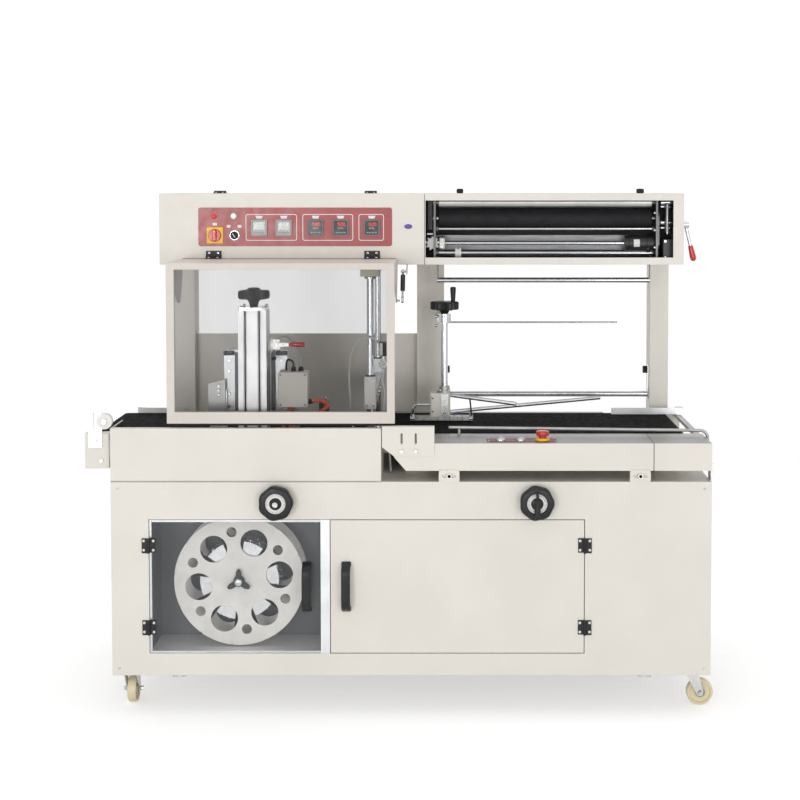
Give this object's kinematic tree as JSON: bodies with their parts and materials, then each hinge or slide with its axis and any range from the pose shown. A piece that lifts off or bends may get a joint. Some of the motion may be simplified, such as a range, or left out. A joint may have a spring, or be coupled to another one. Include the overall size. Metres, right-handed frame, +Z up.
{
  "type": "side sealer",
  "caption": "Film side sealer on a caster base: two belt conveyors, hinged clear hood, cross jaw, sealing column, film rollers, control panel and scrap winder.",
  "frame": {"origin": "on the floor, under the middle of the whole machine's box", "axes": "+X along the conveyors to the infeed end, +Y from the operator's side to the back, +Z up"},
  "size_m": [1.7925, 0.802, 1.476],
  "materials": {
    "cream_paint": "fine textured powder coat",
    "dark_bay_sheet": "dark grey sheet",
    "aluminium": "satin extruded aluminium",
    "stainless": "brushed stainless sheet",
    "zinc": "bright zinc plate",
    "chrome": "polished chrome plate",
    "dark_steel": "dark machined steel",
    "belt_rubber": "matt woven-backed belt",
    "roller_rubber": "ground black rubber",
    "black_plastic": "moulded black plastic",
    "clear_pane": "clear acrylic sheet",
    "tread_nylon": "cream nylon",
    "reel_white": "white reel flange",
    "red_plastic": "red moulded plastic",
    "white_plastic": "off-white moulded box",
    "panel_red": "burgundy instrument panel",
    "pulley_plastic": "white plastic pulley"
  },
  "bodies": {
    "machine": {"base_cabinet": "cream_paint", "reel_compartment": "dark_bay_sheet", "door_mullion": "aluminium", "station_housing": "cream_paint", "rear_frame": "cream_paint", "control_box": "cream_paint", "control_panel": "panel_red", "roller_box": "cream_paint", "conveyor_frames": "stainless", "conveyor_belts": "belt_rubber", "infeed_covers": "cream_paint", "mounting_plates": "cream_paint", "guide_rails": "chrome", "jaw_frame": "chrome", "seal_column": "aluminium", "terminal_box": "white_plastic", "film_rods": "chrome", "film_drive": "dark_steel", "hinge_leaves": "black_plastic"},
    "hood": {"hood_frame": "cream_paint", "hood_window": "clear_pane"},
    "strut_tubes": {"strut_cylinders": "black_plastic"},
    "strut_pistons": {"strut_rods": "chrome"},
    "clear_door": {"window_door": "clear_pane", "window_door_handle": "black_plastic"},
    "panel_door": {"steel_door": "cream_paint", "steel_door_handle": "black_plastic"},
    "left_wheel": {"outfeed_handwheel": "black_plastic"},
    "right_wheel": {"infeed_handwheel": "black_plastic"},
    "crank_grip": {"folding_crank": "black_plastic"},
    "reel": {"scrap_reel": "reel_white"},
    "reel_nut": {"reel_knob": "black_plastic"},
    "main_knob": {"main_switch": "red_plastic"},
    "selector_knob": {"selector_switch": "black_plastic"},
    "start_plunger": {"start_button": "chrome"},
    "stop_plunger": {"stop_button": "chrome"},
    "stop_head": {"emergency_stop": "red_plastic"},
    "lift_lever": {"nip_lever": "red_plastic"},
    "steel_nip": {"nip_roller": "stainless"},
    "rubber_nip": {"rubber_roller": "roller_rubber"},
    "dancer_frame": {"dancer": "chrome"},
    "low_roller": {"guide_roller": "stainless"},
    "jaw": {"upper_jaw": "aluminium"},
    "height_knob": {"seal_knob": "black_plastic"},
    "carriage": {"seal_carriage": "aluminium"},
    "clamp": {"clamp_lever": "red_plastic"},
    "head_crank": {"crank_wheel": "black_plastic"},
    "turning_head": {"former_head": "stainless"},
    "box_lid": {"control_lid": "cream_paint"},
    "infeed_roller": {"infeed_end_roller": "stainless"},
    "outfeed_roller": {"outfeed_end_roller": "stainless"},
    "scrap_pulley": {"trim_pulley": "pulley_plastic"},
    "fork_front_left": {"caster_fork_front_left": "zinc"},
    "wheel_front_left": {"caster_wheel_front_left": "tread_nylon"},
    "fork_front_right": {"caster_fork_front_right": "zinc"},
    "wheel_front_right": {"caster_wheel_front_right": "tread_nylon"},
    "fork_rear_left": {"caster_fork_rear_left": "zinc"},
    "wheel_rear_left": {"caster_wheel_rear_left": "tread_nylon"},
    "fork_rear_right": {"caster_fork_rear_right": "zinc"},
    "wheel_rear_right": {"caster_wheel_rear_right": "tread_nylon"}
  },
  "joints": [
    {"name": "hood_hinge", "type": "hinge", "parent": "machine", "child": "hood", "pos_m": [-0.32875, -0.073, 1.273], "axis": [-1, 0, 0], "range_deg": [0, 65]},
    {"name": "strut_swing", "type": "hinge", "parent": "machine", "child": "strut_tubes", "pos_m": [-0.32875, -0.089, 1.232], "axis": [-1, 0, 0], "range_deg": [0, 80.24]},
    {"name": "strut_stroke", "type": "slide", "parent": "strut_tubes", "child": "strut_pistons", "axis": [0, -0.5206, -0.8538], "range_m": [0, 0.0367]},
    {"name": "clear_door_hinge", "type": "hinge", "parent": "machine", "child": "clear_door", "pos_m": [-0.69925, -0.343, 0.362], "axis": [0, 0, -1], "range_deg": [0, 110]},
    {"name": "panel_door_hinge", "type": "hinge", "parent": "machine", "child": "panel_door", "pos_m": [0.52175, -0.343, 0.362], "axis": [0, 0, 1], "range_deg": [0, 110]},
    {"name": "left_wheel_turn", "type": "hinge", "parent": "machine", "child": "left_wheel", "pos_m": [-0.33925, -0.359, 0.604], "axis": [0, 1, 0], "continuous": true},
    {"name": "right_wheel_turn", "type": "hinge", "parent": "machine", "child": "right_wheel", "pos_m": [0.38575, -0.359, 0.604], "axis": [0, 1, 0], "continuous": true},
    {"name": "crank_fold", "type": "hinge", "parent": "right_wheel", "child": "crank_grip", "pos_m": [0.38575, -0.392, 0.63], "axis": [-1, 0, 0], "range_deg": [0, 90]},
    {"name": "swivel_front_left", "type": "hinge", "parent": "machine", "child": "fork_front_left", "pos_m": [-0.76725, -0.259, 0.1], "axis": [0, 0, 1], "continuous": true},
    {"name": "roll_front_left", "type": "hinge", "parent": "fork_front_left", "child": "wheel_front_left", "pos_m": [-0.76725, -0.235, 0.0375], "axis": [-1, 0, 0], "continuous": true},
    {"name": "swivel_front_right", "type": "hinge", "parent": "machine", "child": "fork_front_right", "pos_m": [0.83475, -0.259, 0.1], "axis": [0, 0, 1], "continuous": true},
    {"name": "roll_front_right", "type": "hinge", "parent": "fork_front_right", "child": "wheel_front_right", "pos_m": [0.85875, -0.259, 0.0375], "axis": [0, 1, 0], "continuous": true},
    {"name": "swivel_rear_left", "type": "hinge", "parent": "machine", "child": "fork_rear_left", "pos_m": [-0.76725, 0.321, 0.1], "axis": [0, 0, 1], "continuous": true},
    {"name": "roll_rear_left", "type": "hinge", "parent": "fork_rear_left", "child": "wheel_rear_left", "pos_m": [-0.76725, 0.297, 0.0375], "axis": [1, 0, 0], "continuous": true},
    {"name": "swivel_rear_right", "type": "hinge", "parent": "machine", "child": "fork_rear_right", "pos_m": [0.83475, 0.321, 0.1], "axis": [0, 0, 1], "continuous": true},
    {"name": "roll_rear_right", "type": "hinge", "parent": "fork_rear_right", "child": "wheel_rear_right", "pos_m": [0.83475, 0.345, 0.0375], "axis": [-1, 0, 0], "continuous": true},
    {"name": "reel_turn", "type": "hinge", "parent": "machine", "child": "reel", "pos_m": [-0.45525, -0.279, 0.362], "axis": [0, 1, 0], "continuous": true},
    {"name": "nut_turn", "type": "hinge", "parent": "reel", "child": "reel_nut", "pos_m": [-0.45525, -0.279, 0.362], "axis": [0, 1, 0], "continuous": true},
    {"name": "main_switch_turn", "type": "hinge", "parent": "machine", "child": "main_knob", "pos_m": [-0.55125, -0.071, 1.338], "axis": [0, 1, 0], "range_deg": [0, 90]},
    {"name": "selector_turn", "type": "hinge", "parent": "machine", "child": "selector_knob", "pos_m": [-0.49325, -0.071, 1.338], "axis": [0, 1, 0], "range_deg": [-45, 45]},
    {"name": "start_press", "type": "slide", "parent": "machine", "child": "start_plunger", "axis": [0, 0, -1], "range_m": [0, 0.003], "stiffness_N_per_m": 500, "springref_m": -0.001},
    {"name": "stop_press", "type": "slide", "parent": "machine", "child": "stop_plunger", "axis": [0, 0, -1], "range_m": [0, 0.003], "stiffness_N_per_m": 500, "springref_m": -0.001},
    {"name": "emergency_press", "type": "slide", "parent": "machine", "child": "stop_head", "axis": [0, 0, -1], "range_m": [0, 0.005]},
    {"name": "lever_lift", "type": "hinge", "parent": "machine", "child": "lift_lever", "pos_m": [0.83675, -0.009, 1.369], "axis": [-1, 0, 0], "range_deg": [0, 120]},
    {"name": "rubber_turn", "type": "hinge", "parent": "machine", "child": "rubber_nip", "pos_m": [0.43575, 0.001, 1.387], "axis": [1, 0, 0], "continuous": true},
    {"name": "nip_turn", "type": "hinge", "parent": "machine", "child": "steel_nip", "pos_m": [0.43575, 0.001, 1.435], "axis": [1, 0, 0], "continuous": true},
    {"name": "dancer_swing", "type": "hinge", "parent": "machine", "child": "dancer_frame", "pos_m": [0.43575, 0.061, 1.33], "axis": [1, 0, 0], "range_deg": [-15, 15]},
    {"name": "low_roller_turn", "type": "hinge", "parent": "machine", "child": "low_roller", "pos_m": [0.43575, 0.251, 0.82], "axis": [1, 0, 0], "continuous": true},
    {"name": "jaw_slide", "type": "slide", "parent": "machine", "child": "jaw", "axis": [0, 0, 1], "range_m": [-0.072, 0.2]},
    {"name": "height_knob_turn", "type": "hinge", "parent": "machine", "child": "height_knob", "pos_m": [-0.41525, -0.232, 1.1403], "axis": [0, 0, 1], "range_deg": [-1441, 1441]},
    {"name": "carriage_slide", "type": "slide", "parent": "machine", "child": "carriage", "axis": [0, 0, 1], "range_m": [-0.02, 0.02]},
    {"name": "clamp_flip", "type": "hinge", "parent": "machine", "child": "clamp", "pos_m": [-0.35225, -0.232, 1.031], "axis": [0, -1, 0], "range_deg": [0, 90]},
    {"name": "head_crank_turn", "type": "hinge", "parent": "machine", "child": "head_crank", "pos_m": [0.12775, 0.041, 1.09], "axis": [0, 0, 1], "range_deg": [0, 4321]},
    {"name": "head_slide", "type": "slide", "parent": "machine", "child": "turning_head", "axis": [0, 0, 1], "range_m": [0, 0.12]},
    {"name": "lid_hinge", "type": "hinge", "parent": "machine", "child": "box_lid", "pos_m": [-0.32425, -0.043, 1.466], "axis": [1, 0, 0], "range_deg": [0, 90]},
    {"name": "infeed_roller_turn", "type": "hinge", "parent": "machine", "child": "infeed_roller", "pos_m": [0.81075, -0.039, 0.743], "axis": [0, 1, 0], "continuous": true},
    {"name": "outfeed_roller_turn", "type": "hinge", "parent": "machine", "child": "outfeed_roller", "pos_m": [-0.87125, -0.039, 0.743], "axis": [0, 1, 0], "continuous": true},
    {"name": "scrap_pulley_turn", "type": "hinge", "parent": "machine", "child": "scrap_pulley", "pos_m": [-0.82525, -0.309, 0.824], "axis": [0, 1, 0], "continuous": true}
  ],
  "couplings": [
    {"joint": "strut_swing", "follows": "hood_hinge", "ratio": 1.2342},
    {"joint": "strut_stroke", "follows": "hood_hinge", "m_per_rad": 0.032262},
    {"joint": "nip_turn", "follows": "rubber_turn", "ratio": -1.35},
    {"joint": "height_knob_turn", "follows": "carriage_slide", "rad_per_m": 1256.6},
    {"joint": "head_crank_turn", "follows": "head_slide", "rad_per_m": 628.32}
  ]
}
